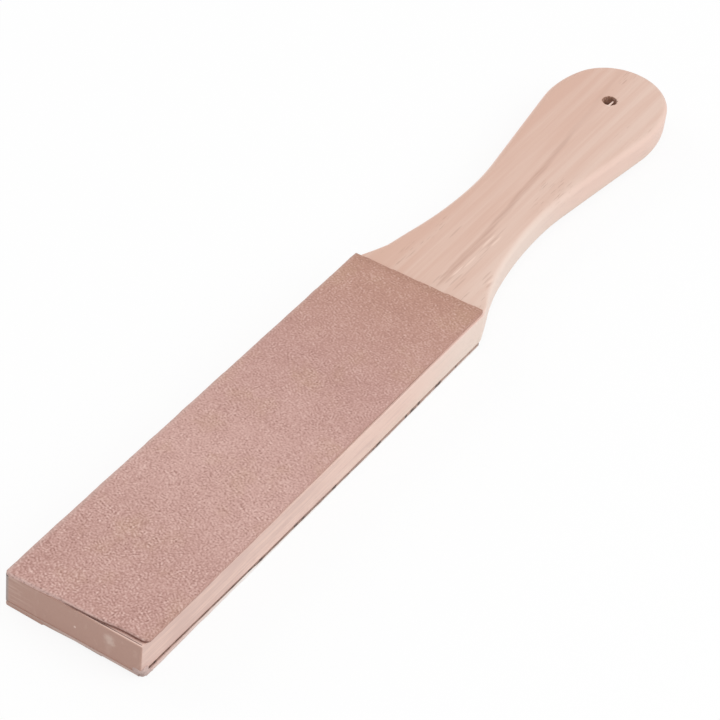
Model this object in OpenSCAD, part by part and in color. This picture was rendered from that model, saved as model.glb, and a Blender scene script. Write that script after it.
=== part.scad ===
// Double-sided leather paddle strop. A one-piece wooden paddle carries a leather strip on each face
// of its board, and a film of contact glue bonds each strip. The handle's outline is a chain of
// tangent curves, and the paddle is lofted through that outline, drawn in by a quarter round towards
// each face. The rounding fades out at the shoulders, where the leather starts.
// Millimetres, +Z up. The strop lies on its lower leather with the handle towards +X. The origin is
// on the surface under it, midway along its length and its width.

/* [Board] */
// Length of the board, from the front end to the shoulders
board_l = 192; // [150:1:260]
// Width of the board and of the leather on it
board_w = 50; // [44:0.5:70]
// Thickness of the wood
wood_t = 12; // [8:0.5:18]
// Radius of the upright corners at the front end
front_r = 1; // [1:0.5:6]
// Radius of the eased edges of the board
board_edge_r = 0.5; // [0.2:0.1:0.9]

/* [Handle] */
// Length of the handle, from the shoulders to the tip
handle_l = 158; // [142:1:200]
// Distance from the shoulders to the narrowest place of the handle
waist_at = 60; // [45:1:72]
// Width at the narrowest place
waist_w = 29.5; // [24:0.5:36]
// Radius of the hollow curve from the waist towards the grip
flank_r = 120; // [60:5:220]
// Greatest width of the grip
grip_w = 44.5; // [42:0.5:50]
// Radius of the outline where the grip is widest
grip_r = 45; // [32:1:60]
// Radius of the round tip
tip_r = 20.5; // [16:0.5:22]
// Radius of the rounding along the handle's edges
edge_r = 3; // [1:0.25:3.75]
// Length over which that rounding fades out towards the shoulders
edge_fade = 12; // [4:1:30]

/* [Hang hole] */
// Diameter of the hang hole
hole_d = 5.5; // [3:0.5:10]
// Distance from the tip to the middle of the hang hole
hole_from_tip = 23.5; // [14:0.5:40]

/* [Leather] */
// Thickness of the upper leather
upper_leather_t = 1.7; // [1:0.1:4]
// Thickness of the lower leather
lower_leather_t = 1.6; // [1:0.1:4]
// How far the upper leather's ends are cut out of square, across the board's width
upper_skew = 2; // [0.2:0.2:4]
// Gap between the upper leather and the left shoulder
upper_gap = 2; // [0.5:0.5:20]
// Gap between the lower leather and the shoulders
lower_gap = 0.5; // [0.5:0.5:20]
// Radius of the leather's corners
leather_r = 1.2; // [0.4:0.2:5]

/* [Glue] */
// Thickness of each glue film
glue_t = 0.15; // [0.1:0.05:0.5]
// How far each glue film stops short of the leather's edges
glue_inset = 0.6; // [0.2:0.1:3]

/* [Hidden] */
$fn = 96;

wood_color = [0.87, 0.74, 0.66];
leather_color = [0.77, 0.62, 0.58];
glue_color = [0.36, 0.24, 0.18];

// Lengths along the strop, from the front end
overall_l = board_l + handle_l;
waist_x = board_l + waist_at;
hole_x = overall_l - hole_from_tip;

// Heights of the layers, from the surface up
lower_glue_z = lower_leather_t;
wood_z = lower_glue_z + glue_t;
upper_glue_z = wood_z + wood_t;
upper_leather_z = upper_glue_z + glue_t;

// Neck: one hollow arc from the shoulder's corner, level at the waist
neck_in = (board_w - waist_w)/2;
neck_r = (waist_at^2 + neck_in^2)/(2*neck_in);
neck_c = [waist_x, waist_w/2 + neck_r];
shoulder_a = 180 + atan2(neck_c.y - board_w/2, neck_c.x - board_l);
waist_a = 270;

// Tip and grip: the grip's arc passes into the tip's arc, which is centred on the handle's axis
tip_c = [overall_l - tip_r, 0];
grip_back = sqrt((grip_r - tip_r)^2 - (grip_r - grip_w/2)^2);
grip_c = [tip_c.x - grip_back, grip_w/2 - grip_r];
tip_a = atan2(tip_c.y - grip_c.y, tip_c.x - grip_c.x);

// Flank: the straight inner tangent between the hollow curve at the waist and the grip's arc
flank_c = [waist_x, waist_w/2 + flank_r];
flank_to_grip = grip_c - flank_c;
flank_a = atan2(flank_to_grip.y, flank_to_grip.x) + acos(-(flank_r + grip_r)/norm(flank_to_grip));

// Steps of a small corner, of each long curve and of the quarter round along an edge
corner_steps = 4;
curve_steps = 12;
edge_steps = 5;

// Quarter round of radius 1, from a face to the side: how far in, and how far from the face
quarter_round = [for (i = [0 : edge_steps]) let (a = 90*i/edge_steps) [1 - sin(a), 1 - cos(a)]];

// How far the cutter of the hang hole runs past each face
hole_over = 1;

// Point at radius r and angle a about the centre c
function polar(c, r, a) = c + r*[cos(a), sin(a)];

// Points of an arc about c, from one angle to another
function arc(c, r, from, to, steps) = [for (i = [0 : steps]) polar(c, r, from + (to - from)*i/steps)];

// A list of points without its first one, and in the opposite order
function rest(p) = [for (i = [1 : len(p) - 1]) p[i]];
function reversed(p) = [for (i = [len(p) - 1 : -1 : 0]) p[i]];

// Where the end of a strip that starts at x lies, at the place y across the board
function end_x(x, skew, y) = x + skew*(0.5 - y/board_w);

// Radius of the paddle's edge at the place x along it
function edge_at(x) = board_edge_r + (edge_r - board_edge_r)*max(0, min(1, (x - board_l)/edge_fade));

// Inward normal of the stretch from p to q of an outline that runs anticlockwise
function normal_in(p, q) = [p.y - q.y, q.x - p.x]/norm(q - p);

// Mitred way in from each point of a closed outline, for an inset of 1
function ways_in(p) = [
    for (i = [0 : len(p) - 1])
        let (n = len(p), a = normal_in(p[(i + n - 1)%n], p[i]), b = normal_in(p[i], p[(i + 1)%n]))
        (a + b)/(1 + a*b)
];

// Left side of the paddle's outline, from the front end's corner to the tip
function left_side() = concat(
    arc([front_r, board_w/2 - front_r], front_r, 180, 90, corner_steps),
    arc(neck_c, neck_r, shoulder_a, waist_a, curve_steps),
    rest(arc(flank_c, flank_r, waist_a, flank_a + 180, curve_steps)),
    arc(grip_c, grip_r, flank_a, tip_a, curve_steps),
    rest(arc(tip_c, tip_r, tip_a, 0, curve_steps))
);

// Plate of the thickness t with the same outline on both sides of the x axis, given as its left side,
// which ends on the axis. Its edges are rounded as edge_at says.
module rounded_plate(side, t) {
    outline = concat([for (p = side) [p.x, -p.y]], rest(reversed(side)));
    n = len(outline);
    inwards = ways_in(outline);
    rims = [for (p = outline) edge_at(p.x)];
    lower = [
        for (q = quarter_round, i = [0 : n - 1])
            concat(outline[i] + q[0]*rims[i]*inwards[i], q[1]*rims[i])
    ];
    upper = [
        for (q = reversed(quarter_round), i = [0 : n - 1])
            concat(outline[i] + q[0]*rims[i]*inwards[i], t - q[1]*rims[i])
    ];
    top = len(lower) + len(upper) - n;
    walls = [
        for (ring = [0 : n : top - n], i = [0 : n - 1], half = [0, 1])
            let (a = ring + i, b = ring + (i + 1)%n)
            half == 0 ? [a, a + n, b + n] : [a, b + n, b]
    ];
    lower_face = [
        for (i = [0 : len(side) - 2], half = [0, 1])
            let (a = i, b = i + 1, c = n - 2 - i, d = n - 1 - i)
            if (half == 0 || b != c) half == 0 ? [a, b, d] : [b, c, d]
    ];
    upper_face = [for (f = lower_face) [top + f[2], top + f[1], top + f[0]]];
    polyhedron(concat(lower, upper), concat(lower_face, walls, upper_face));
}

// Plan of a leather strip between x0 and x1 on its left edge, with rounded corners
module strip_plan(x0, x1, skew) {
    a = atan2(skew, board_w);
    y = board_w/2 - leather_r;
    lead = leather_r/cos(a);
    front = [for (s = [1, -1]) [end_x(x0, skew, s*y) + lead, s*y]];
    back = [for (s = [1, -1]) [end_x(x1, skew, s*y) - lead, s*y]];
    polygon(concat(
        arc(front[0], leather_r, 180 + a, 90, corner_steps),
        arc(back[0], leather_r, 90, a, corner_steps),
        arc(back[1], leather_r, a, -90, corner_steps),
        arc(front[1], leather_r, 270, 180 + a, corner_steps)
    ));
}

// Plan of the glue under such a strip
module glue_plan(x0, x1, skew) {
    y = board_w/2 - glue_inset;
    polygon([
        [end_x(x0, skew, y) + glue_inset, y], [end_x(x1, skew, y) - glue_inset, y],
        [end_x(x1, skew, -y) - glue_inset, -y], [end_x(x0, skew, -y) + glue_inset, -y]
    ]);
}

// Moves what is drawn from the front end to its place about the origin, at the height z
module layer(z) {
    translate([-overall_l/2, 0, z]) children();
}

module wooden_paddle() {
    color(wood_color) layer(wood_z) difference() {
        rounded_plate(left_side(), wood_t);
        translate([hole_x, 0, -hole_over]) cylinder(d = hole_d, h = wood_t + 2*hole_over);
    }
}

module upper_leather() {
    color(leather_color) layer(upper_leather_z)
        linear_extrude(upper_leather_t) strip_plan(0, board_l - upper_gap, upper_skew);
}

module lower_leather() {
    color(leather_color) layer(0)
        linear_extrude(lower_leather_t) strip_plan(0, board_l - lower_gap, 0);
}

module upper_glue() {
    color(glue_color) layer(upper_glue_z)
        linear_extrude(glue_t) glue_plan(0, board_l - upper_gap, upper_skew);
}

module lower_glue() {
    color(glue_color) layer(lower_glue_z)
        linear_extrude(glue_t) glue_plan(0, board_l - lower_gap, 0);
}

wooden_paddle();
upper_leather();
lower_leather();
upper_glue();
lower_glue();
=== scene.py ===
import math
import bmesh
import bpy
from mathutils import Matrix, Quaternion, Vector


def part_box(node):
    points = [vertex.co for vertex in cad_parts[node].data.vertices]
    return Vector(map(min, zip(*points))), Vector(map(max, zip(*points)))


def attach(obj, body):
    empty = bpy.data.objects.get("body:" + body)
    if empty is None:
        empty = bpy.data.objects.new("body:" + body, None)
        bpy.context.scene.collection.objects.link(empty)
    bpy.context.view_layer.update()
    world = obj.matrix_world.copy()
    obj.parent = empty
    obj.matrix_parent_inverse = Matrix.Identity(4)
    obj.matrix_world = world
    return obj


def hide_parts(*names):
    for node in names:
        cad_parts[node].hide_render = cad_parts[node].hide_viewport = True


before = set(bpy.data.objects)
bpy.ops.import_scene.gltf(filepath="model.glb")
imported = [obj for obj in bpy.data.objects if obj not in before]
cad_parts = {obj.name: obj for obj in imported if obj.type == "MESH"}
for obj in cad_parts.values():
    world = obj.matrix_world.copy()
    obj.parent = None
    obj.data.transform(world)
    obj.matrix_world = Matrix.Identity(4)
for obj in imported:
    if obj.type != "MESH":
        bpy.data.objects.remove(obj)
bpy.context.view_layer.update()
mm = 0.001
touching = 0.01 * mm  # places closer than this count as one
rightSide = -20 * mm  # what lies past this y belongs to a right side
endSpare = 2 * mm  # spare length of a sheet, which the cuts at its ends take off


# Modelling helpers

def objectMode():
    bpy.ops.object.mode_set(mode="OBJECT")


def editMode():
    bpy.ops.object.mode_set(mode="EDIT")


def deselectAll():
    if bpy.context.mode != "OBJECT":
        objectMode()
    bpy.ops.object.select_all(action="DESELECT")


def activate(piece):  # makes the piece the only selected one
    deselectAll()
    piece.select_set(True)
    bpy.context.view_layer.objects.active = piece


def openPiece(name):  # names the primitive that was just added and opens it for editing
    piece = bpy.context.object
    piece.name = piece.data.name = name
    bpy.ops.object.transform_apply(location=True, rotation=True, scale=True)
    editMode()
    return piece


def pick(piece, kind, test):  # selects the verts, edges or faces that pass the test
    bpy.ops.mesh.select_mode(type={"verts": "VERT", "edges": "EDGE", "faces": "FACE"}[kind])
    bpy.ops.mesh.select_all(action="DESELECT")
    shape = bmesh.from_edit_mesh(piece.data)
    chosen = [part for part in getattr(shape, kind) if test(part)]
    for part in chosen:
        part.select_set(True)
    shape.select_flush_mode()
    bmesh.update_edit_mesh(piece.data)
    return len(chosen)


def pickAll():
    bpy.ops.mesh.select_all(action="SELECT")


def allVerts(part, test):  # whether every vertex of an edge or a face lies where the test says
    return all(test(vert.co) for vert in part.verts)


def near(a, b, slack=touching):
    return abs(a - b) < slack


def extrudeBy(x, y, z):
    bpy.ops.mesh.extrude_region_move(TRANSFORM_OT_translate={"value": (x, y, z)})


def faceOutwards():
    pickAll()
    bpy.ops.mesh.normals_make_consistent(inside=False)


def thicken(height):  # turns the flat sheet that is open into a closed slab
    pickAll()
    extrudeBy(0, 0, height)
    faceOutwards()


def applyModifier(piece, kind, **settings):
    modifier = piece.modifiers.new(kind.lower(), kind)
    for name, value in settings.items():
        setattr(modifier, name, value)
    bpy.context.view_layer.objects.active = piece
    bpy.ops.object.modifier_apply(modifier=modifier.name)


def groupPicked(piece, name):  # keeps the picked vertices as a group for a modifier
    group = piece.vertex_groups.new(name=name)
    piece.vertex_groups.active_index = group.index
    bpy.ops.object.vertex_group_assign()


def roughen(piece, group, size, strength, depth=2):  # moves the group in and out by a cloud pattern
    clouds = bpy.data.textures.new(piece.name + group, "CLOUDS")
    clouds.noise_scale = size
    clouds.noise_depth = depth
    applyModifier(piece, "DISPLACE", texture=clouds, texture_coords="LOCAL", direction="NORMAL",
                  strength=strength, mid_level=0.5, vertex_group=group)


def smoothBy(piece, degrees):
    activate(piece)
    bpy.ops.object.shade_smooth_by_angle(angle=math.radians(degrees))


def turnPicked(turn, fade=0.0):  # turns about an upright line; the operator counts clockwise
    bpy.ops.transform.rotate(value=-turn["angle"], orient_axis="Z", orient_type="GLOBAL",
                             center_override=(*turn["about"], 0), use_proportional_edit=fade > 0,
                             proportional_edit_falloff="SMOOTH", proportional_size=max(fade, mm))


def turnPiece(piece, turn):
    activate(piece)
    editMode()
    pickAll()
    turnPicked(turn)
    objectMode()


def pullPicked(by, reach):  # moves what is picked, and what is within reach ever less
    bpy.ops.transform.translate(value=by, use_proportional_edit=True,
                                proportional_edit_falloff="SMOOTH", proportional_size=reach)


def bulgeRight(piece, bulge):  # swells the right side outwards about its middle
    pick(piece, "verts", lambda v: v.co.y < rightSide
         and abs(v.co.x - bulge["middle"]) < bulge["core"])
    pullPicked((0, -bulge["by"], 0), bulge["reach"])


def dress(piece, material):
    piece.data.materials.clear()
    piece.data.materials.append(material)


# Material helpers

class Wire:  # a socket; sums and products with it add Math nodes
    def __init__(self, tree, socket=None):
        self.tree = tree
        self.socket = socket

    def node(self, kind, settings={}, inputs={}, out=0):
        made = self.tree.nodes.new(kind)
        for name, value in settings.items():
            if name == "stops":
                ramp = made.color_ramp
                while len(ramp.elements) < len(value):
                    ramp.elements.new(1)
                for stop, (position, color) in zip(ramp.elements, value):
                    stop.position = position
                    stop.color = color
            else:
                setattr(made, name, value)
        for name, value in inputs.items():
            if isinstance(value, Wire):
                self.tree.links.new(value.socket, made.inputs[name])
            else:
                made.inputs[name].default_value = value
        return Wire(self.tree, made.outputs[out]) if made.outputs else None

    def math(self, operation, a, b=0.0):
        return self.node("ShaderNodeMath", {"operation": operation}, {0: a, 1: b})

    def __add__(self, other):
        return self.math("ADD", self, other)

    def __radd__(self, other):
        return self.math("ADD", other, self)

    def __sub__(self, other):
        return self.math("SUBTRACT", self, other)

    def __rsub__(self, other):
        return self.math("SUBTRACT", other, self)

    def __mul__(self, other):
        return self.math("MULTIPLY", self, other)

    def __rmul__(self, other):
        return self.math("MULTIPLY", other, self)

    def __truediv__(self, other):
        return self.math("DIVIDE", self, other)

    def __rtruediv__(self, other):
        return self.math("DIVIDE", other, self)

    def __pow__(self, other):
        return self.math("POWER", self, other)

    def __abs__(self):
        return self.math("ABSOLUTE", self)

    def rise(self, low, high):  # 0 below low, 1 above high, smooth between
        return self.node("ShaderNodeMapRange", {"interpolation_type": "SMOOTHSTEP"},
                         {"Value": self, "From Min": low, "From Max": high})

    def fall(self, low, high):  # 1 below low, 0 above high
        return 1 - self.rise(low, high)

    def swing(self, amount):  # a noise about its middle, as plus and minus
        return amount * (self - 0.5)

    def parts(self):  # x, y and z of a vector
        split = self.node("ShaderNodeSeparateXYZ", {}, {0: self})
        return [Wire(self.tree, socket) for socket in split.socket.node.outputs]

    def stretched(self, x, y, z):
        return self.node("ShaderNodeMapping", {}, {"Vector": self, "Scale": (x, y, z)})

    def noise(self, scale, detail=2.0, roughness=0.5):
        return self.node("ShaderNodeTexNoise", {}, {"Vector": self, "Scale": scale,
                                                    "Detail": detail, "Roughness": roughness})

    def blend(self, low, high):  # mixes two colours by this value
        return self.node("ShaderNodeMix", {"data_type": "RGBA"}, {0: self, 6: low, 7: high}, out=2)


def squares(first, *others):  # sum of the squares
    total = first * first
    for other in others:
        total = total + other * other
    return total


def shade(red, green, blue):  # a screen colour as the shader's linear one
    levels = [level / 255 for level in (red, green, blue)]
    linear = [v / 12.92 if v <= 0.04045 else ((v + 0.055) / 1.055) ** 2.4 for v in levels]
    return (*linear, 1.0)


def newMaterial(name):  # the material, its shader and the place on the piece in mm
    material = bpy.data.materials.new(name)
    material.use_nodes = True
    tree = material.node_tree
    surface = tree.nodes["Principled BSDF"]
    place = Wire(tree).node("ShaderNodeTexCoord", out="Object").stretched(1 / mm, 1 / mm, 1 / mm)
    return material, surface, place


def setSurface(surface, place, color, roughness, height, depth, **fixed):
    links = place.tree.links
    links.new(color.socket, surface.inputs["Base Color"])
    links.new(roughness.socket, surface.inputs["Roughness"])
    bump = place.node("ShaderNodeBump", {}, {"Height": height, "Strength": 1.0, "Distance": depth})
    links.new(bump.socket, surface.inputs["Normal"])
    for name, value in fixed.items():
        surface.inputs[name].default_value = value


# Wood: pale straight-grained hardwood, sanded and left bare. Places and sizes are in mm, and a pair
# of numbers is mostly the two ends of a soft edge

wood = {
    "rosy": shade(219, 180, 162),
    "pale": shade(231, 202, 187),
    "streak": shade(192, 150, 132),
    "pore": shade(176, 134, 114),
    "paleLine": shade(246, 217, 202),
    "sideFront": shade(219, 186, 176),  # painted highlight: the board's sides are paler than the top, and duller towards the front
    "sideBack": shade(244, 211, 197),
    "sideLow": shade(232, 214, 196),
    # painted highlight on the neck's sides
    "neckSide": shade(240, 228, 217),
    # painted highlight on the rounding along the right top edge
    "ledge": shade(244, 214, 203),
    "endGrain": shade(201, 160, 145),
    "scuff": shade(226, 196, 182),
    "speck": shade(250, 225, 215),
    "corner": shade(170, 164, 164),  # painted grey reflection on the upright corner at the front left
    "stain": shade(84, 66, 62),
    # painted light on the strip of top in front of the upper leather, against its shadow
    "frontStrip": shade(252, 216, 204),
    # the hole's wall, darker: drill burn and painted shade in the hole
    "burn": shade(178, 138, 118),
    "chip": shade(240, 212, 198),
    "share": {  # how strongly each mark covers the wood
        "streak": 0.62, "pore": 0.4, "paleLine": 0.55, "darkLine": 0.27, "sideLow": 0.5,
        "neckSide": 0.5, "ledge": 0.8, "dots": 0.3, "speck": 0.8, "corner": 0.75, "stain": 0.9,
        "frontStrip": 0.9,
    },
    "fields": {  # each noise: its scale along x, y and z, its detail and its roughness
        "drift": ((0.006, 0.05, 0.05), 3.0, 0.5),
        "fibre": ((0.035, 1.4, 1.4), 4.0, 0.6),
        "vein": ((0.012, 0.3, 0.3), 3.0, 0.55),
        "flecks": ((0.16, 2.2, 2.2), 1.0, 0.5),
        "crowd": ((0.02, 0.11, 0.11), 1.0, 0.5),
        "wave": ((0.045, 0.0, 0.0), 2.0, 0.5),
        "smudge": ((0.05, 0.2, 0.2), 3.0, 0.6),
        "dots": ((0.2, 1.6, 1.6), 3.0, 0.6),
        "smear": ((0.1, 0.5, 0.25), 3.0, 0.5),
        "ragged": ((0.3, 0.55, 0.7), 2.0, 0.5),
        "brushed": ((0.1, 0.12, 1.3), 2.0, 0.5),
    },
    "rings": {"pith": (-6.0, -62.0),  # y and z of their centre
              "drift": (7, 5), "width": 6.5, "late": (0.1, 1.0)},
    "tone": {"middle": 0.47, "across": 0.014, "vein": 1.2, "fibre": 0.5, "late": 0.2,
             "flank": 0.2, "calmFlank": 0.6},
    "pores": {"flecks": (0.62, 0.72), "crowd": (0.48, 0.7)},
    "run": {  # the dark wavy streak along the handle, and a fainter one to its right
        "start": 40, "line": (-4.9, 0.045, 0.0003), "wave": 2.2, "half": (0.3, 1.7),
        "broken": (0.35, 0.6), "unbroken": 0.45, "from": (15, 33), "thins": (105, 135),
        "thinBy": 0.7, "second": 3.2, "secondHalf": (1.0, 3.6), "secondBroken": (0.5, 0.62),
        "secondEnd": (55, 75), "secondShare": 0.7,
    },
    "lines": {  # thin lines along the grain: x, y and length
        "width": 0.9, "edge": (0.1, 1.0), "wave": 1.2, "height": (10.75, 12.75),
        "dark": [(22.5, -3.7, 8), (26.0, -4.4, 8), (22.6, -5.6, 9), (25.4, -7.2, 8),
                 (26.3, -9.0, 11), (25.3, -11.2, 11), (35.0, -16.1, 8), (33.6, -17.5, 9),
                 (32.1, -19.2, 7), (52.0, -8.6, 12), (48.6, 4.5, 11)],
        "pale": [(30.4, -7.0, 10), (37.8, -7.8, 10), (51.5, -7.2, 11), (53.1, -9.4, 9),
                 (33.9, -18.4, 6)],
    },
    "sides": {
        "facing": (0.3, 0.95), "dull": 0.3, "brightens": (-190, 40), "smudge": 1.6, "fibre": 1.4,
        "vein": 1.2, "cover": 0.85, "handleLess": 0.25, "handleFrom": (15, 60),
        "lowFrom": (-100, -20), "lowHeight": (2.5, 7.0), "neckFrom": (-40, 10), "neckTo": (60, 110),
        "ledgeAcross": (-25.6, -24.0), "ledgeFrom": (-110, -10), "ledgeTo": (25, 45),
        "ledgeFacing": (0.3, 0.8),
    },
    "front": {  # the front end's face and its left corner
        "x": (-173.0, -172.0), "facing": (0.25, 0.8), "dots": (0.4, 0.7),
        "scuffAt": (-12.6, 9.4), "scuffHalf": (2.0, 2.2), "scuffSmear": 1.6, "scuffRagged": 2.4,
        "scuffEdge": (-0.2, 1.6), "scuffShare": 0.9,  # a rubbed patch, at y and z
        "trailHalf": (0.1, 1.5), "trailRagged": 4, "trailLong": 3, "trailFoot": (1.5, 5.0),
        "trailShare": 0.22, "smear": (0.58, 0.72), "smearShare": 0.2,
        "brushed": (0.45, 0.68), "brushedFrom": (13, 22), "brushedShare": 0.5,
        "speckAt": (-0.2, 7.0), "speckSize": (0.05, 0.3),
        "left": (24.1, 24.9), "cornerReach": (-176.5, -168.5), "cornerRagged": 7,
        "stainReach": (-175.3, -173.8), "stainHeight": (12.5, 12.9), "stripFacing": (0.9, 0.99),
    },
    "hole": {  # its wall, darker by drill burn and painted shade, and the splinter in it
        "at": (151.5, 0.0), "burnt": (2.75, 3.05), "ragged": 0.9, "raggedScale": 1.1,
        "chipAt": (150.35, -1.1), "chipLong": (2.1, 2.5), "chipWide": (0.5, 0.75),
        "chipHeight": (12.25, 12.65),
    },
    "roughness": (0.42, 0.2),
    "relief": {"fibre": 0.5, "vein": 0.3, "pores": 0.8},
    "bumpDepth": 0.06 * mm,
}


def fineLines(x, y, lines):  # short thin lines along the grain
    total = 0.0
    for middleX, middleY, long in lines:
        u, v = (x - middleX) * (2 / long), (y - middleY) * (2 / wood["lines"]["width"])
        total = total + squares(u, v).fall(*wood["lines"]["edge"])
    return total


def darkRun(x, y, wave, fibre):
    run = wood["run"]
    level, slope, bend = run["line"]
    along = x - run["start"]
    across = y - (level + slope * along + bend * along * along + wave.swing(run["wave"]))
    reach = x.rise(*run["from"]) * (1 - run["thinBy"] * x.rise(*run["thins"]))
    broken = run["unbroken"] + (1 - run["unbroken"]) * fibre.rise(*run["broken"])
    first = abs(across).fall(*run["half"]) * broken
    second = abs(across + run["second"]).fall(*run["secondHalf"])
    second = second * fibre.rise(*run["secondBroken"]) * x.fall(*run["secondEnd"])
    return (first + run["secondShare"] * second) * reach


def frontFace(y, z, field):  # end grain, darker and dotted, with a rubbed patch and a pale speck
    front, share = wood["front"], wood["share"]
    smear, ragged, brushed = field["smear"], field["ragged"], field["brushed"]
    scuffY, scuffZ = front["scuffAt"]
    patch = squares((y - scuffY) / front["scuffHalf"][0], (z - scuffZ) / front["scuffHalf"][1])
    patch = patch + smear.swing(front["scuffSmear"]) + ragged.swing(front["scuffRagged"])
    trail = abs(y - scuffY + ragged.swing(front["trailRagged"])).fall(*front["trailHalf"])
    trail = trail * z.fall(scuffZ - front["trailLong"], scuffZ)
    rubbed = patch.fall(*front["scuffEdge"]) * front["scuffShare"]
    rubbed = rubbed + front["trailShare"] * trail * z.rise(*front["trailFoot"])
    rubbed = rubbed + front["smearShare"] * smear.rise(*front["smear"])
    atLeft = y.rise(*front["brushedFrom"])
    rubbed = rubbed + front["brushedShare"] * brushed.rise(*front["brushed"]) * atLeft
    dots = share["dots"] * field["dots"].rise(*front["dots"])
    color = dots.blend(wood["endGrain"], wood["streak"])
    color = rubbed.blend(color, wood["scuff"])
    fromSpeck = squares(y - front["speckAt"][0], z - front["speckAt"][1])
    return (share["speck"] * fromSpeck.fall(*front["speckSize"])).blend(color, wood["speck"])


def makeWood():
    material, surface, place = newMaterial("paleWood")
    x, y, z = place.parts()
    toX, toY, toZ = place.node("ShaderNodeNewGeometry", out="Normal").parts()
    field = {name: place.stretched(*scale).noise(1.0, detail, roughness)
             for name, (scale, detail, roughness) in wood["fields"].items()}
    fibre, vein, wave = field["fibre"], field["vein"], field["wave"]
    share = wood["share"]

    # growth rings, veins and pores
    rings, tone, sides = wood["rings"], wood["tone"], wood["sides"]
    fromPith = squares(y - rings["pith"][0] + field["drift"].swing(rings["drift"][0]),
                       z - rings["pith"][1] + field["drift"].swing(rings["drift"][1])) ** 0.5
    late = place.math("SINE", fromPith / rings["width"] * (2 * math.pi)).rise(*rings["late"])
    flank = abs(toY).rise(*sides["facing"])
    figure = vein.swing(tone["vein"]) + fibre.swing(tone["fibre"])
    level = tone["middle"] - tone["across"] * y + figure * (1 - tone["calmFlank"] * flank)
    # the sides are lifted in tone as well: a painted highlight
    level = level - tone["late"] * late + tone["flank"] * flank
    color = level.rise(0.0, 1.0).blend(wood["rosy"], wood["pale"])
    color = (share["streak"] * darkRun(x, y, wave, fibre)).blend(color, wood["streak"])
    pores = field["flecks"].rise(*wood["pores"]["flecks"])
    pores = pores * field["crowd"].rise(*wood["pores"]["crowd"])
    color = (share["pore"] * pores).blend(color, wood["pore"])
    lines = wood["lines"]
    onTop, bent = z.rise(*lines["height"]), y + wave.swing(lines["wave"])
    paleLines = share["paleLine"] * onTop * fineLines(x, bent, lines["pale"])
    color = paleLines.blend(color, wood["paleLine"])
    darkLines = share["darkLine"] * onTop * fineLines(x, bent, lines["dark"])
    color = darkLines.blend(color, wood["pore"])

    # sides of the board and of the neck, paler than the top: a painted highlight
    level = sides["dull"] + (1 - sides["dull"]) * x.rise(*sides["brightens"])
    level = level + field["smudge"].swing(sides["smudge"])
    level = level + fibre.swing(sides["fibre"]) + vein.swing(sides["vein"])
    side = level.rise(0.0, 1.0).blend(wood["sideFront"], wood["sideBack"])
    cover = flank * (sides["cover"] - sides["handleLess"] * x.rise(*sides["handleFrom"]))
    color = cover.blend(color, side)
    low = flank * x.rise(*sides["lowFrom"]) * z.fall(*sides["lowHeight"])
    color = (share["sideLow"] * low).blend(color, wood["sideLow"])
    # painted highlight on the neck's sides
    neck = flank * x.rise(*sides["neckFrom"]) * x.fall(*sides["neckTo"])
    color = (share["neckSide"] * neck).blend(color, wood["neckSide"])
    # painted highlight on the rounding along the right top edge
    ledge = y.fall(*sides["ledgeAcross"]) * x.rise(*sides["ledgeFrom"])
    ledge = ledge * x.fall(*sides["ledgeTo"]) * toZ.rise(*sides["ledgeFacing"])
    color = (share["ledge"] * ledge).blend(color, wood["ledge"])

    # front end
    front = wood["front"]
    atFront, atLeft = x.fall(*front["x"]), y.rise(*front["left"])
    color = ((0 - toX).rise(*front["facing"]) * atFront).blend(color, frontFace(y, z, field))
    # painted grey reflection on the front left upright corner
    cornerSheen = atLeft * (x + fibre.swing(front["cornerRagged"])).fall(*front["cornerReach"])
    color = (share["corner"] * cornerSheen).blend(color, wood["corner"])
    stained = atLeft * x.fall(*front["stainReach"]) * z.rise(*front["stainHeight"])
    color = (share["stain"] * stained).blend(color, wood["stain"])
    # painted light on the top in front of the upper strip, against the strip's shadow
    strip = share["frontStrip"] * toZ.rise(*front["stripFacing"]) * atFront
    color = strip.blend(color, wood["frontStrip"])

    # wall of the drilled hole: drill burn and painted shade
    hole = wood["hole"]
    fromHole = squares(x - hole["at"][0], y - hole["at"][1]) ** 0.5
    fromHole = fromHole + place.noise(hole["raggedScale"]).swing(hole["ragged"])
    color = fromHole.fall(*hole["burnt"]).blend(color, wood["burn"])
    chip = abs(x - hole["chipAt"][0]).fall(*hole["chipLong"])
    chip = chip * abs(y - hole["chipAt"][1]).fall(*hole["chipWide"]) * z.rise(*hole["chipHeight"])
    color = chip.blend(color, wood["chip"])

    relief = wood["relief"]
    height = relief["fibre"] * fibre + relief["vein"] * vein - relief["pores"] * pores
    smoothest, spread = wood["roughness"]
    setSurface(surface, place, color, smoothest + spread * fibre, height, wood["bumpDepth"])
    return material


# Suede: rough pinkish leather with a short worm-like nap. Places and sizes in mm

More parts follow.
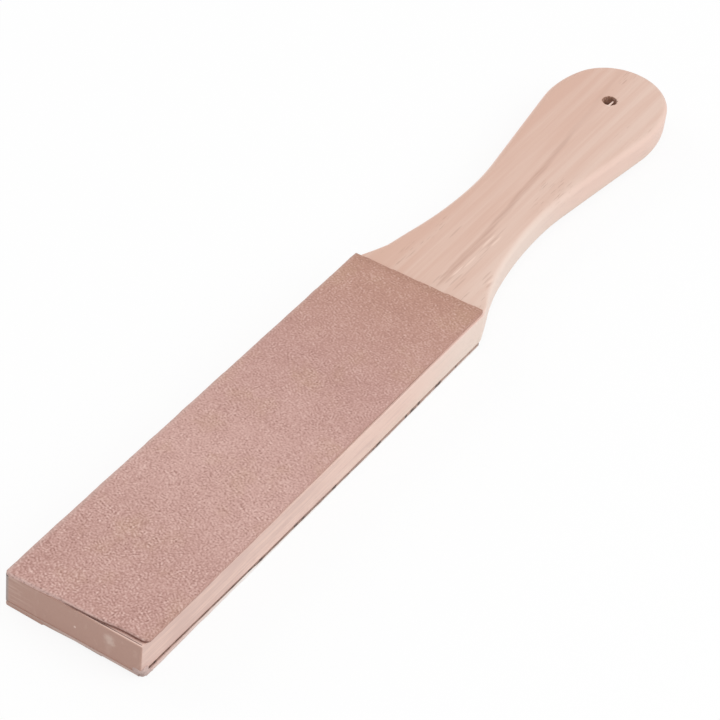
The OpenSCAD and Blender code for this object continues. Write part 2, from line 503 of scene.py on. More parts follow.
suede = {
    "front": shade(198, 156, 147),
    "middle": shade(208, 168, 159),
    "back": shade(191, 147, 130),
    "olive": shade(197, 160, 137),
    "tuft": shade(240, 208, 198),
    "pit": shade(152, 110, 100),
    # painted highlight on the rounded front edge of the upper strip
    "lip": shade(242, 206, 197),
    "frayed": shade(206, 182, 176),
    # painted highlight, near white, on the lower strip's right side
    "bleached": shade(255, 250, 246),
    "backEdge": shade(178, 136, 118),
    "sheen": shade(240, 214, 204),
    "fields": {  # each noise: its scale, its detail and its roughness
        "worn": (0.12, 3.0, 0.55),
        "cloud": (0.09, 3.0, 0.6),
        "blotch": (0.055, 4.0, 0.6),
    },
    "napSize": 1.0,  # from strand to strand
    "napTurn": (0.5, 0.8, 0.6),
    "strandScale": 0.5,
    "knotScale": 1.45,
    "strandShare": 1.7,
    "knotShare": 1.5,
    "cloudShare": 0.35,
    "contrast": 1.3,
    "calmed": (0.92, 0.42),  # the nap's strength at the front, and what it loses to the back
    "wornLevels": (0.3, 0.6),
    "wornLeast": 0.75,
    "frontX": -175.0,
    "long": 192.0,
    "changes": (0.38, 0.7),  # where along the strip its colour turns
    "oliveLevels": (0.5, 0.72),
    "oliveShare": 0.45,
    "skew": 0.04,  # the ends are cut out of square
    "backFrom": (11.5, 15.0),
    "backShare": 0.5,
    "lipTo": (-174.8, -173.6),
    "lipOnTop": 0.25,
    "facing": (0.4, 0.8),
    "leftRim": (23.0, 24.8),
    "rightRim": (-25.6, -23.8),
    "seamHeight": (14.2, 14.9),
    "seamLevels": (0.35, 0.55),
    "bleachedAcross": (-25.6, -24.6),
    "bleachedFrom": (-160, -115),
    "endShare": 0.85,
    "frayedAt": (-175.0, -25.0, 1.6),
    "frayedReach": (3.5, 6.5),
    "frayedShare": 0.9,
    "roughness": (0.84, 0.1),
    "bumpDepth": 0.07 * mm,
    "cuts": {  # how the cut ends, sides and rims of each strip are coloured
        "suedeTop": {
            # the front cut is painted dark brown: painted shade
            "end": shade(118, 76, 64), "endLeft": shade(118, 76, 64), "leftShare": 0.0,
            "height": (14.7, 15.2), "across": (0.0, 9.0), "lip": 0.75, "side": shade(188, 147, 135),
            "sideShare": 0.4, "seam": 0.6, "rim": shade(208, 184, 175), "leftRim": 0.4,
            "rightRim": 0.0, "bleached": 0.0,
        },
        "suedeUnder": {
            "end": shade(213, 185, 175), "endLeft": shade(213, 174, 159), "leftShare": 1.0,
            "height": (2.0, 3.0), "across": (0.0, 14.0), "lip": 0.0, "side": shade(228, 206, 198),
            "sideShare": 0.8, "seam": 0.0, "rim": shade(226, 202, 194), "leftRim": 0.0,
            "rightRim": 0.8, "bleached": 0.9,
        },
    },
}


def makeSuede(name):  # the end cut has a right and a left colour, up to the height given
    s, cut = suede, suede["cuts"][name]
    material, surface, place = newMaterial(name)
    x, y, z = place.parts()
    toX, toY = place.node("ShaderNodeNewGeometry", out="True Normal").parts()[:2]
    worn, cloud, blotch = [place.noise(*field) for field in s["fields"].values()]

    # nap
    turned = place.node("ShaderNodeMapping", {}, {"Vector": place, "Rotation": s["napTurn"]})
    strands = turned.node("ShaderNodeTexGabor", {"gabor_type": "3D"},
                          {"Vector": turned, "Scale": s["strandScale"] / s["napSize"],
                           "Frequency": 2.0, "Anisotropy": 0.0})
    knots = turned.noise(s["knotScale"] / s["napSize"], 1.0)
    along = x / s["long"] + (-s["frontX"] / s["long"])
    strength = s["wornLeast"] + (1 - s["wornLeast"]) * worn.rise(*s["wornLevels"])
    strength = strength * (s["calmed"][0] - s["calmed"][1] * along)
    nap = (strands.swing(s["strandShare"]) + knots.swing(s["knotShare"])) * strength
    grain = 0.5 + nap + cloud.swing(s["cloudShare"])

    # flat side
    stops = zip((0.0, *s["changes"], 1.0), (s["front"], s["middle"], s["front"], s["back"]))
    color = along.node("ShaderNodeValToRGB", {"stops": list(stops)}, {"Fac": along})
    color = (s["oliveShare"] * blotch.rise(*s["oliveLevels"])).blend(color, s["olive"])
    squared = x + s["skew"] * y
    color = (s["backShare"] * squared.rise(*s["backFrom"])).blend(color, s["backEdge"])
    toEnd, toSide = abs(toX).rise(*s["facing"]), abs(toY).rise(*s["facing"])
    # painted highlight on the upper strip's front edge
    lip = cut["lip"] * squared.fall(*s["lipTo"]) * (s["lipOnTop"] + (1 - s["lipOnTop"]) * toEnd)
    color = lip.blend(color, s["lip"])
    color = (s["contrast"] * (grain - 0.5)).blend(color, s["tuft"])
    color = (s["contrast"] * (0.5 - grain)).blend(color, s["pit"])

    # rims, sides and cut ends
    color = (cut["leftRim"] * y.rise(*s["leftRim"])).blend(color, cut["rim"])
    color = (cut["rightRim"] * y.fall(*s["rightRim"])).blend(color, cut["rim"])
    color = (cut["sideShare"] * toSide).blend(color, cut["side"])
    # painted shade low on the side wall, along the seam with the wood
    seam = cut["seam"] * toSide * z.fall(*s["seamHeight"]) * cloud.rise(*s["seamLevels"])
    color = seam.blend(color, cut["end"])
    # painted near-white highlight on the lower strip's right side
    bleached = cut["bleached"] * y.fall(*s["bleachedAcross"]) * x.rise(*s["bleachedFrom"])
    color = bleached.blend(color, s["bleached"])
    # the end cut up to the given height; on the upper strip's front it is dark painted shade
    atRight = y.fall(*cut["across"])
    shaded = z.fall(*cut["height"]) * (atRight + cut["leftShare"] * (1 - atRight))
    endColor = atRight.blend(cut["endLeft"], cut["end"])
    color = (s["endShare"] * toEnd * shaded).blend(color, endColor)
    fromCorner = squares(*[part - at for part, at in zip((x, y, z), s["frayedAt"])]) ** 0.5
    color = (s["frayedShare"] * fromCorner.fall(*s["frayedReach"])).blend(color, s["frayed"])
    smoothest, spread = s["roughness"]
    setSurface(surface, place, color, smoothest + spread * grain, grain, s["bumpDepth"],
               **{"Specular IOR Level": 0.2, "Sheen Weight": 0.1, "Sheen Roughness": 0.5,
                  "Sheen Tint": s["sheen"]})
    return material


# Glue: dried brown contact glue, which reads differently over and under the board

glue = {
    "dark": shade(122, 94, 82),
    "light": shade(158, 130, 117),
    "faded": shade(190, 160, 148),
    "tail": shade(222, 190, 178),
    "spot": shade(58, 36, 30),
    # painted light: the bead's front is pale like the end grain and lightened against its shade
    "front": shade(227, 199, 189),
    "frontLeft": shade(212, 176, 162),
    "fields": {  # each noise: its scale, its detail and its roughness
        "grain": (2.5, 2.0, 0.5),
        "mottle": (0.35, 3.0, 0.6),
        "cornerSpots": (0.6, 1.0, 0.5),
        "sideSpots": (0.3, 2.0, 0.5),
    },
    "mottleLevels": (0.42, 0.68),
    "upper": (7, 9),  # heights that part the upper film from the lower one
    "upperFaded": 0.55,
    "lowerFaded": 0.8,
    "fades": (-130, -20),
    "tailFrom": (-40, 5),
    "tailShare": 0.9,
    "cornerLevels": (0.46, 0.56),
    "cornerLong": (-166, -160),
    "cornerWide": (-24, -22),
    "sideLevels": (0.54, 0.6),
    "sideFrom": (-140, -120),
    "spotShare": 0.8,
    "frontTo": (-173.9, -173.5),
    "frontFrom": (-24.0, -23.0),
    "frontTurns": (2, 14),
    "frontShare": 0.9,
    "roughness": (0.45, 0.3),
    "bumpDepth": 0.1 * mm,
}


def makeGlue():
    material, surface, place = newMaterial("driedGlue")
    x, y, z = place.parts()
    grain, mottle, cornerSpots, sideSpots = [place.noise(*field)
                                             for field in glue["fields"].values()]
    upper = z.rise(*glue["upper"])
    lower = 1 - upper
    color = mottle.rise(*glue["mottleLevels"]).blend(glue["dark"], glue["light"])
    faded = glue["upperFaded"] * upper + glue["lowerFaded"] * lower * x.rise(*glue["fades"])
    color = faded.blend(color, glue["faded"])
    color = (glue["tailShare"] * upper * x.rise(*glue["tailFrom"])).blend(color, glue["tail"])
    nearCorner = x.fall(*glue["cornerLong"]) * y.fall(*glue["cornerWide"])
    spots = cornerSpots.rise(*glue["cornerLevels"]) * nearCorner
    spots = spots + sideSpots.rise(*glue["sideLevels"]) * x.rise(*glue["sideFrom"])
    color = (glue["spotShare"] * spots * lower).blend(color, glue["spot"])
    # painted light on the bead's front, against its shade
    atFront = x.fall(*glue["frontTo"]) * lower * y.rise(*glue["frontFrom"])
    lightenedFront = y.rise(*glue["frontTurns"]).blend(glue["front"], glue["frontLeft"])
    color = (glue["frontShare"] * atFront).blend(color, lightenedFront)
    smoothest, spread = glue["roughness"]
    setSurface(surface, place, color, smoothest + spread * grain, grain, glue["bumpDepth"],
               **{"Specular IOR Level": 0.4})
    return material


paleWood = makeWood()
suedeTop = makeSuede("suedeTop")
suedeUnder = makeSuede("suedeUnder")
driedGlue = makeGlue()
print("materials made")


# Wooden paddle: an upright edge profile is swept round one half of the outline and then mirrored

woodLow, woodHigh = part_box("wooden_paddle")
paddle = {
    "thick": woodHigh.z - woodLow.z,
    "midZ": (woodHigh.z + woodLow.z) / 2,
    "front": woodLow.x,
    "shoulder": woodLow.x + 192 * mm,
    "waist": woodLow.x + 252 * mm,
    "tip": woodHigh.x,
    "halfBoard": 25 * mm,
    "halfWaist": 14.75 * mm,
    "halfGrip": 22.25 * mm,
    "cornerRound": 0.7 * mm,
    "flankRound": 120 * mm,
    "gripRound": 45 * mm,
    "tipRound": 20.5 * mm,
    "boardRound": 0.5 * mm,
    "boardReach": 0.9 * mm,  # how far the swept edge reaches into the flat faces
    "handleRound": 3 * mm,
    "handleReach": 4 * mm,
    "roundSteps": 6,
    "steps": {"corner": 6, "neck": 14, "flank": 8, "grip": 12, "tip": 16},
    "fade": 12 * mm,  # length over which the edge's rounding grows
    "fadeCuts": 5,
    "fadeSlack": 1e-4,
    "shoulderEase": 0.7 * mm,
    "easeSteps": 3,
    "merge": 0.005 * mm,
    "turn": {"angle": math.radians(-0.61), "about": (-110 * mm, 0)},  # the board is a little askew
    "turnSlack": 0.1 * mm,  # so that the shoulder's own vertices turn with the board
    "turnFade": 25 * mm,
    "sawn": {"angle": math.radians(1.25), "about": (woodLow.x, -1 * mm)},  # and so is its front end
    "sawnLong": 2 * mm,
    "sideLong": 150 * mm,  # only the edges along the sides are longer
    "sideCuts": 11,
    "bulge": {"middle": -85 * mm, "core": 30 * mm, "by": 0.45 * mm, "reach": 75 * mm},
    "hole": woodHigh.x - 23.5 * mm,
    "holeRadius": 2.75 * mm,
    "holeSides": 48,
    "drillOver": 2 * mm,
    "rim": 0.35 * mm,
    "rimShare": 0.98,  # its outermost ring stays level
    "rimTear": 0.28 * mm,
    "rimEven": 0.2,
    "rimSeed": 5,
    "splinter": {"from": -3.2 * mm, "to": 0.9 * mm, "side": -1.1 * mm, "down": 0.55 * mm,
                 "thick": 0.85 * mm, "point": 0.4},
    "smoothAngle": 32,
}


def shapeProfile(piece, isOuter, isInner, rounding):  # leaves the outer line of an upright plane
    pick(piece, "verts", lambda v: isOuter(v.co))
    bpy.ops.mesh.bevel(offset=rounding, segments=paddle["roundSteps"], profile=0.5,
                       affect="VERTICES")
    pick(piece, "faces", lambda face: len(face.verts) > 4)
    bpy.ops.mesh.delete(type="ONLY_FACE")
    pick(piece, "edges", lambda edge: allVerts(edge, isInner))
    bpy.ops.mesh.delete(type="EDGE")


def spinProfile(center, angle, curve):  # spin turns clockwise about its axis
    bpy.ops.mesh.spin(steps=paddle["steps"][curve], angle=angle, center=(*center, 0),
                      axis=(0, 0, -1))


def handleCurves():  # centres and angles of the arcs along the handle's right side
    p = paddle
    neckIn, neckLong = p["halfBoard"] - p["halfWaist"], p["waist"] - p["shoulder"]
    neckRound = (neckLong ** 2 + neckIn ** 2) / (2 * neckIn)
    neck = (p["waist"], -p["halfWaist"] - neckRound)
    flank = (p["waist"], -p["halfWaist"] - p["flankRound"])
    tip = (p["tip"] - p["tipRound"], 0)
    gripIn = p["gripRound"] - p["halfGrip"]
    gripBack = math.sqrt((p["gripRound"] - p["tipRound"]) ** 2 - gripIn ** 2)
    grip = (tip[0] - gripBack, gripIn)
    toGrip = (grip[0] - flank[0], grip[1] - flank[1])
    flankAngle = math.atan2(-toGrip[1], toGrip[0])
    flankAngle = flankAngle + math.acos(-(p["flankRound"] + p["gripRound"]) / math.hypot(*toGrip))
    away = (math.cos(flankAngle), -math.sin(flankAngle))
    straight = [g + p["gripRound"] * a - (f - p["flankRound"] * a)
                for g, f, a in zip(grip, flank, away)]
    return {"neck": neck, "neckTurn": math.asin(neckLong / neckRound) - p["fade"] / neckRound,
            "flank": flank, "flankAngle": flankAngle, "straight": straight,
            "grip": grip, "tip": tip, "tipAngle": math.atan2(gripIn, gripBack)}


def sweepBoard():  # from the middle of the front end round the corner to the shoulder
    p = paddle
    deselectAll()
    at = (p["front"] + p["boardReach"] / 2, 0, p["midZ"])
    bpy.ops.mesh.primitive_plane_add(size=1, location=at, rotation=(math.pi / 2, 0, 0))
    piece = openPiece("paddle")
    bpy.ops.transform.resize(value=(p["boardReach"], 1, p["thick"]), center_override=at)
    shapeProfile(piece, lambda co: near(co.x, p["front"]),
                 lambda co: near(co.x, p["front"] + p["boardReach"]), p["boardRound"])
    pick(piece, "edges", lambda edge: True)
    cornerY = p["cornerRound"] - p["halfBoard"]
    extrudeBy(0, cornerY, 0)
    spinProfile((p["front"] + p["cornerRound"], cornerY), math.pi / 2, "corner")
    extrudeBy(p["shoulder"] - p["front"] - p["cornerRound"], 0, 0)
    return piece


def sweepHandle(piece, curves):  # from the waist back to the end of the fade, then on to the tip
    p = paddle
    at = (p["waist"], p["handleReach"] / 2 - p["halfWaist"], p["midZ"])
    bpy.ops.mesh.primitive_plane_add(size=1, location=at, rotation=(0, math.pi / 2, 0))
    bpy.ops.transform.resize(value=(1, p["handleReach"], p["thick"]), center_override=at)
    atWaist = lambda co: near(co.x, p["waist"])
    shapeProfile(piece, lambda co: atWaist(co) and near(co.y, -p["halfWaist"]),
                 lambda co: atWaist(co) and near(co.y, p["handleReach"] - p["halfWaist"]),
                 p["handleRound"])
    pick(piece, "edges", lambda edge: allVerts(edge, atWaist))
    spinProfile(curves["neck"], curves["neckTurn"], "neck")
    pick(piece, "edges", lambda edge: allVerts(edge, atWaist))
    spinProfile(curves["flank"], math.pi / 2 - curves["flankAngle"], "flank")
    extrudeBy(*curves["straight"], 0)
    spinProfile(curves["grip"], curves["flankAngle"] - curves["tipAngle"], "grip")
    spinProfile(curves["tip"], curves["tipAngle"], "tip")


def bridgeFade(piece, curves):  # the edge's rounding grows from the shoulder to the end of the fade
    p = paddle
    atShoulder = lambda co: near(co.x, p["shoulder"])

    def onFadeEnd(co):
        turn = math.atan2(co.x - curves["neck"][0], co.y - curves["neck"][1])
        return near(turn, -curves["neckTurn"], p["fadeSlack"]) and co.x > p["shoulder"]

    bridged = pick(piece, "edges", lambda edge: allVerts(edge, onFadeEnd)
                   or allVerts(edge, atShoulder))
    bpy.ops.mesh.bridge_edge_loops(number_cuts=p["fadeCuts"], interpolation="LINEAR")
    pick(piece, "edges", lambda edge: allVerts(edge, atShoulder))
    bpy.ops.mesh.bevel(offset=p["shoulderEase"], segments=p["easeSteps"], affect="EDGES")
    print("fade bridged", bridged)


def closePaddle(piece):  # the other half, then the two flat faces
    objectMode()
    applyModifier(piece, "MIRROR", use_axis=(False, True, False), merge_threshold=paddle["merge"])
    editMode()
    pickAll()
    bpy.ops.mesh.remove_doubles(threshold=paddle["merge"])
    for z in (woodLow.z, woodHigh.z):
        pick(piece, "edges", lambda edge: edge.is_boundary
             and allVerts(edge, lambda co: near(co.z, z)))
        bpy.ops.mesh.edge_face_add()
    faceOutwards()


def sawBoard(piece):  # the board leaves the handle's line, and its right side isn't straight
    p = paddle
    pick(piece, "verts", lambda v: v.co.x < p["shoulder"] + p["turnSlack"])
    turnPicked(p["turn"], p["turnFade"])
    pick(piece, "verts", lambda v: v.co.x < p["front"] + p["sawnLong"])
    turnPicked(p["sawn"])
    pick(piece, "edges", lambda edge: edge.calc_length() > p["sideLong"]
         and allVerts(edge, lambda co: co.y < rightSide))
    bpy.ops.mesh.subdivide(number_cuts=p["sideCuts"])
    bulgeRight(piece, p["bulge"])


def drillHole(piece):  # hang hole with a worn, splintered rim
    p = paddle
    deselectAll()
    bpy.ops.mesh.primitive_cylinder_add(vertices=p["holeSides"], radius=p["holeRadius"],
                                        depth=p["thick"] + 2 * p["drillOver"],
                                        location=(p["hole"], 0, p["midZ"]))
    drill = bpy.context.object
    bpy.ops.object.transform_apply(location=True)
    applyModifier(piece, "BOOLEAN", operation="DIFFERENCE", object=drill, solver="EXACT")
    bpy.data.objects.remove(drill)
    activate(piece)
    editMode()
    fromHole = lambda co: math.hypot(co.x - p["hole"], co.y)
    onWall = lambda co: near(fromHole(co), p["holeRadius"])
    pick(piece, "edges", lambda edge: allVerts(edge, onWall)
         and near(edge.verts[0].co.z, edge.verts[1].co.z))
    bpy.ops.mesh.bevel(offset=p["rim"], segments=p["easeSteps"], affect="EDGES")
    rimFrom, rimTo = p["holeRadius"] - touching, p["holeRadius"] + p["rimShare"] * p["rim"]
    pick(piece, "verts", lambda v: rimFrom < fromHole(v.co) < rimTo)
    bpy.ops.transform.vertex_random(offset=p["rimTear"], uniform=p["rimEven"], seed=p["rimSeed"])


def addSplinter(piece):  # torn along the grain, from the hole's wall to a point
    s = paddle["splinter"]
    z = woodHigh.z - s["down"]
    at = (paddle["hole"] + (s["from"] + s["to"]) / 2, s["side"], z)
    end = (paddle["hole"] + s["to"], s["side"], z)
    bpy.ops.mesh.primitive_cube_add(size=1, location=at)
    size = (s["to"] - s["from"], s["thick"], s["thick"])
    bpy.ops.transform.resize(value=size, center_override=at)
    pick(piece, "verts", lambda v: near(v.co.x, end[0]) and near(v.co.y, end[1], s["thick"]))
    bpy.ops.transform.resize(value=(1, s["point"], s["point"]), center_override=end)


def makePaddle():
    curves = handleCurves()
    piece = sweepBoard()
    print("board swept")
    sweepHandle(piece, curves)
    print("handle swept")
    bridgeFade(piece, curves)
    closePaddle(piece)
    print("faces closed")
    sawBoard(piece)
    print("board turned")
    drillHole(piece)
    addSplinter(piece)
    print("hole drilled")
    objectMode()
    smoothBy(piece, paddle["smoothAngle"])
    applyModifier(piece, "WEIGHTED_NORMAL", keep_sharp=True, weight=100)
    dress(piece, paleWood)
    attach(piece, "root")
    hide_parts("wooden_paddle")
    print("paddle", len(piece.data.polygons), "faces")


makePaddle()


# Leather strips: a sheet cut out of square at its ends, thickened, then roughened all over

leather = {
    "upper": {
        "node": "upper_leather", "look": suedeTop, "napUp": True, "skew": 2 * mm, "wide": 0.3 * mm,
        "frontLeft": 0.8 * mm, "frontRight": 1.7 * mm, "waves": ("front", "back"),
        "pulls": [{"from": -4 * mm, "by": (-0.8 * mm, 0, 0), "reach": 16 * mm},
                  {"from": 16 * mm, "by": (-0.1 * mm, 0, -0.35 * mm), "reach": 10 * mm}],
        "bulge": {"middle": -122 * mm, "core": 25 * mm, "by": 0.35 * mm, "reach": 45 * mm},
        "turn": {"angle": math.radians(-0.2), "about": (-145 * mm, 0)},
    },
    "lower": {
        "node": "lower_leather", "look": suedeUnder, "napUp": False, "skew": 1 * mm, "wide": 0.0,
        "frontLeft": 0.4 * mm, "frontRight": 2.2 * mm, "waves": ("back",),
        "pulls": [{"from": 10 * mm, "by": (-0.5 * mm, 0.6 * mm, 0), "reach": 12 * mm}],
        "turn": {"angle": math.radians(-0.36), "about": (-200 * mm, 0)},
        "tuft": {"in": (0.9 * mm, 2.3 * mm, 1.3 * mm), "size": (4.4 * mm, 5.0 * mm, 2.6 * mm),
                 "reach": 5.5 * mm, "above": 0.5 * mm, "fluff": 1.5 * mm, "fluffSize": 1.12 * mm,
                 "fluffDepth": 3},
    },
    "backCorner": 0.25 * mm,
    "voxel": 0.42 * mm,
    "gluedSlack": 0.3,  # this one and the next are in voxels
    "edgeSlack": 0.6,
    "napSize": 1.6 * mm,
    "napHeight": 0.08 * mm,
    "waveSize": 9 * mm,
    "waveHeight": 0.4 * mm,
}


def cutSheet(name, low, high, skew):  # a flat sheet with its ends cut out of square
    deselectAll()
    at = ((low.x + high.x) / 2, 0, low.z)
    bpy.ops.mesh.primitive_plane_add(size=1, location=at)
    piece = openPiece(name)
    size = (high.x - low.x + endSpare, high.y - low.y, 1)
    bpy.ops.transform.resize(value=size, center_override=at)
    outwards = Vector((high.y - low.y, skew, 0)).normalized()
    for end, side in ((low.x + skew / 2, -1), (high.x - skew / 2, 1)):
        pickAll()
        bpy.ops.mesh.bisect(plane_co=(end, 0, low.z), plane_no=outwards * side,
                            use_fill=False, clear_outer=True)
    return piece


def roundCorners(piece, spec, middle):
    for isCorner, size in ((lambda v: v.co.x > middle, leather["backCorner"]),
                           (lambda v: v.co.x < middle and v.co.y > 0, spec["frontLeft"]),
                           (lambda v: v.co.x < middle and v.co.y < 0, spec["frontRight"])):
        pick(piece, "verts", isCorner)
        bpy.ops.mesh.bevel(offset=size, segments=2, profile=0.5, affect="VERTICES")


def fluffTuft(piece, tuft, corner, bottom):
    editMode()
    pick(piece, "verts", lambda v: (v.co - corner).length < tuft["reach"]
         and v.co.z > bottom + tuft["above"])
    groupPicked(piece, "tuft")
    objectMode()
    roughen(piece, "tuft", tuft["fluffSize"], tuft["fluff"], tuft["fluffDepth"])


def makeStrip(name, spec):
    low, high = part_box(spec["node"])
    low.y, high.y = low.y - spec["wide"] / 2, high.y + spec["wide"] / 2
    frontTo, backFrom = low.x + spec["skew"], high.x - spec["skew"]
    piece = cutSheet(name, low, high, spec["skew"])
    roundCorners(piece, spec, (low.x + high.x) / 2)
    thicken(high.z - low.z)
    corner = Vector((frontTo, low.y, high.z))
    if "tuft" in spec:  # frayed fibres at the front right corner
        at = corner + Vector(spec["tuft"]["in"])
        bpy.ops.mesh.primitive_ico_sphere_add(subdivisions=3, radius=0.5, location=at)
        bpy.ops.transform.resize(value=spec["tuft"]["size"], center_override=at)
    objectMode()
    applyModifier(piece, "REMESH", mode="VOXEL", voxel_size=leather["voxel"], use_smooth_shade=True)

    # the glued side becomes one flat face again, and the rest is roughened
    editMode()
    glued = low.z if spec["napUp"] else high.z
    isGlued = lambda co: near(co.z, glued, leather["gluedSlack"] * leather["voxel"])
    pick(piece, "faces", lambda face: allVerts(face, isGlued))
    bpy.ops.mesh.dissolve_faces()
    pick(piece, "verts", lambda v: not isGlued(v.co))
    groupPicked(piece, "nap")
    inner = leather["edgeSlack"] * leather["voxel"]
    pick(piece, "verts", lambda v: abs(v.co.y) > high.y - inner
         or ("front" in spec["waves"] and v.co.x < frontTo + inner)
         or ("back" in spec["waves"] and v.co.x > backFrom - inner))
    groupPicked(piece, "cut")
    objectMode()
    roughen(piece, "nap", leather["napSize"], leather["napHeight"])
    roughen(piece, "cut", leather["waveSize"], leather["waveHeight"])

    # the front end is pulled out of line
    editMode()
    for pull in spec["pulls"]:
        pick(piece, "verts", lambda v: v.co.x < frontTo and v.co.y > pull["from"])
        pullPicked(pull["by"], pull["reach"])
    if "bulge" in spec:
        bulgeRight(piece, spec["bulge"])
    objectMode()
    if "tuft" in spec:
        fluffTuft(piece, spec["tuft"], corner, low.z)
    turnPiece(piece, spec["turn"])
    dress(piece, spec["look"])
    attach(piece, "root")
    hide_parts(spec["node"])
    print(name, len(piece.data.polygons), "faces")


makeStrip("suedeUpper", leather["upper"])
makeStrip("suedeLower", leather["lower"])


# Glue: a film under each strip, squeezed out in an uneven bead at its rim

glueFilm = {
    "upper": {"node": "upper_glue", "skew": 2 * mm, "squeeze": 0.55 * mm, "swell": 2.0,
              "lumps": 0.15 * mm, "corner": 2.4 * mm, "frontBead": False,
              "turn": leather["upper"]["turn"]},
    "lower": {"node": "lower_glue", "skew": 0.0, "squeeze": 0.72 * mm, "swell": 7.0,
              "lumps": 0.3 * mm, "corner": 1.0 * mm, "frontBead": True, "turn": paddle["turn"]},
    "merge": 0.001 * mm,
    "cuts": 240,
    "lumpSize": 3.5 * mm,
    "sideFacing": 0.98,
    "frontFacing": 0.9,
    "frontLong": 0.5 * mm,
    "smoothAngle": 60,
}


def makeGlueFilm(name, spec):
    low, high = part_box(spec["node"])
    piece = cutSheet(name, low, high, spec["skew"])
    pickAll()
    bpy.ops.mesh.remove_doubles(threshold=glueFilm["merge"])
    pick(piece, "verts", lambda v: v.co.x < 0 and v.co.y < 0)
    bpy.ops.mesh.bevel(offset=spec["corner"], segments=2, affect="VERTICES")
    pick(piece, "edges", lambda edge: near(edge.verts[0].co.y, edge.verts[1].co.y))
    bpy.ops.mesh.subdivide(number_cuts=glueFilm["cuts"])
    thicken(high.z - low.z)

    def hasBead(face):  # the right side, and either the front or the left side
        if spec["frontBead"]:
            other = face.normal.x < -glueFilm["frontFacing"]
        else:
            other = face.normal.y > glueFilm["sideFacing"]
        return face.normal.y < -glueFilm["sideFacing"] or other

    pick(piece, "faces", hasBead)
    squeeze = {"value": spec["squeeze"]}
    bpy.ops.mesh.extrude_region_shrink_fatten(TRANSFORM_OT_shrink_fatten=squeeze)
    middle = (0, 0, (low.z + high.z) / 2)
    bpy.ops.transform.resize(value=(1, 1, spec["swell"]), center_override=middle)
    groupPicked(piece, "bead")
    objectMode()
    roughen(piece, "bead", glueFilm["lumpSize"], spec["lumps"])
    turnPiece(piece, spec["turn"])
    if spec["frontBead"]:
        editMode()
        pick(piece, "verts", lambda v: v.co.x < low.x + glueFilm["frontLong"])
        turnPicked(paddle["sawn"])
        bulgeRight(piece, paddle["bulge"])
        objectMode()
    smoothBy(piece, glueFilm["smoothAngle"])
    dress(piece, driedGlue)
    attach(piece, "root")
    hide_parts(spec["node"])
    print(name, len(piece.data.polygons), "faces")


makeGlueFilm("glueUpper", glueFilm["upper"])
makeGlueFilm("glueLower", glueFilm["lower"])


# Floor, light and camera

studio = {
    "floorSize": 6.0,
    "floorDrop": 0.3 * mm,
    "floorTone": 0.75,
    "shadowShare": 0.12,  # how much of the floor's own shading the camera sees
    "skyStrength": 0.60,
    "lamps": {"softKey": {"from": (0.10, -0.72, 0.69), "power": 11.8},
              "softRim": {"from": (0.05, 0.93, 0.36), "power": 8.8}},
    "lampDistance": 1.6,
    "lampSize": 1.4,
}
plainWhite = (1, 1, 1, 1)


def seenDirectly(wires):  # 1 for what the camera sees, also in a mirror or through glass
    outs = wires.node("ShaderNodeLightPath").socket.node.outputs
    camera, glossy, through = [Wire(wires.tree, outs["Is " + kind + " Ray"])
                               for kind in ("Camera", "Glossy", "Transmission")]
    return camera + glossy + through


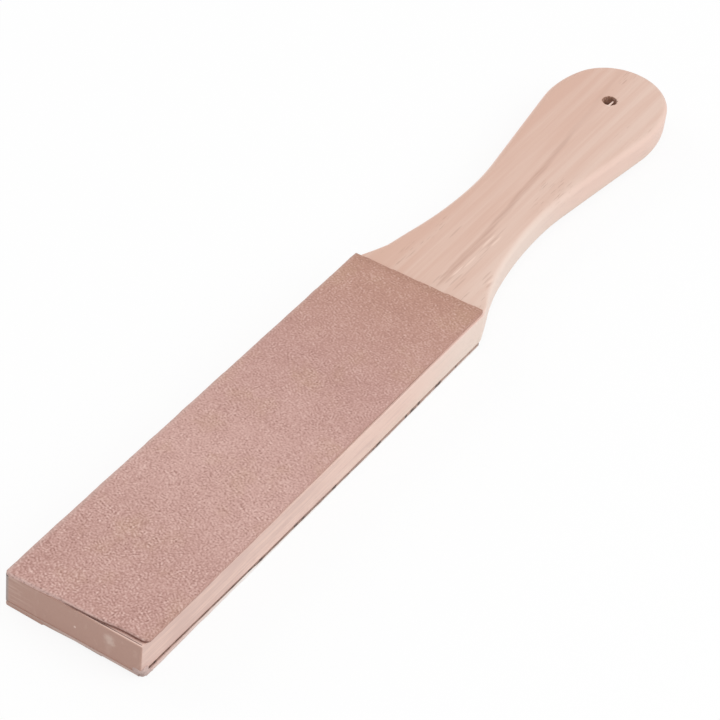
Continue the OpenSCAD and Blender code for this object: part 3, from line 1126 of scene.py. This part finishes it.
def makeFloor():
    deselectAll()
    at = (0, 0, -studio["floorDrop"])
    bpy.ops.mesh.primitive_plane_add(size=studio["floorSize"], location=at)
    floor = openPiece("studioFloor")
    objectMode()
    material = bpy.data.materials.new("paleFloor")
    material.use_nodes = True
    tree = material.node_tree
    tree.nodes.clear()
    wires = Wire(tree)
    tone = studio["floorTone"]
    matt = wires.node("ShaderNodeBsdfDiffuse", {}, {"Color": (tone, tone, tone, 1)})
    white = wires.node("ShaderNodeEmission", {}, {"Color": plainWhite, "Strength": 1.0})
    paper = wires.node("ShaderNodeBsdfDiffuse", {}, {"Color": plainWhite})
    seen = wires.node("ShaderNodeMixShader", {}, {0: studio["shadowShare"], 1: white, 2: paper})
    shown = wires.node("ShaderNodeMixShader", {}, {0: seenDirectly(wires), 1: matt, 2: seen})
    clear = wires.node("ShaderNodeBsdfTransparent")
    back = wires.node("ShaderNodeNewGeometry", out="Backfacing")
    both = wires.node("ShaderNodeMixShader", {}, {0: back, 1: shown, 2: clear})
    wires.node("ShaderNodeOutputMaterial", {}, {"Surface": both})
    dress(floor, material)


def makeLight():
    world = bpy.data.worlds.new("studioSky")
    bpy.context.scene.world = world
    world.use_nodes = True
    tree = world.node_tree
    sky = tree.nodes["Background"]
    strength = studio["skyStrength"] + (1 - studio["skyStrength"]) * seenDirectly(Wire(tree))
    tree.links.new(strength.socket, sky.inputs["Strength"])
    sky.inputs["Color"].default_value = plainWhite
    for name, spec in studio["lamps"].items():
        toLamp = Vector(spec["from"]).normalized()
        data = bpy.data.lights.new(name, "AREA")
        data.shape = "SQUARE"
        data.size = studio["lampSize"]
        data.energy = spec["power"]
        lamp = bpy.data.objects.new(name, data)
        bpy.context.scene.collection.objects.link(lamp)
        lamp.location = toLamp * studio["lampDistance"]
        lamp.rotation_euler = (-toLamp).to_track_quat("-Z", "Y").to_euler()


viewpoint = {
    "place": (-0.63285, -0.33057, 0.62050),
    "heading": 61.731,  # degrees from +Y towards +X
    "down": 41.495,
    "roll": 7.012,
    "lens": 139.51,
    "sensor": 36.0,
    "nearest": 0.05,
}


def makeCamera():
    heading, down, roll = [math.radians(viewpoint[name]) for name in ("heading", "down", "roll")]
    level = math.cos(down)
    forward = Vector((math.sin(heading) * level, math.cos(heading) * level, -math.sin(down)))
    data = bpy.data.cameras.new("photoView")
    data.lens = viewpoint["lens"]
    data.sensor_width = viewpoint["sensor"]
    data.clip_start = viewpoint["nearest"]
    camera = bpy.data.objects.new("photoView", data)
    bpy.context.scene.collection.objects.link(camera)
    camera.location = viewpoint["place"]
    camera.rotation_mode = "QUATERNION"
    rolled = Quaternion((0, 0, 1), roll)
    camera.rotation_quaternion = forward.to_track_quat("-Z", "Y") @ rolled
    bpy.context.scene.camera = camera


makeFloor()
makeLight()
makeCamera()
bpy.context.scene.view_settings.view_transform = "Standard"
print("studio ready")
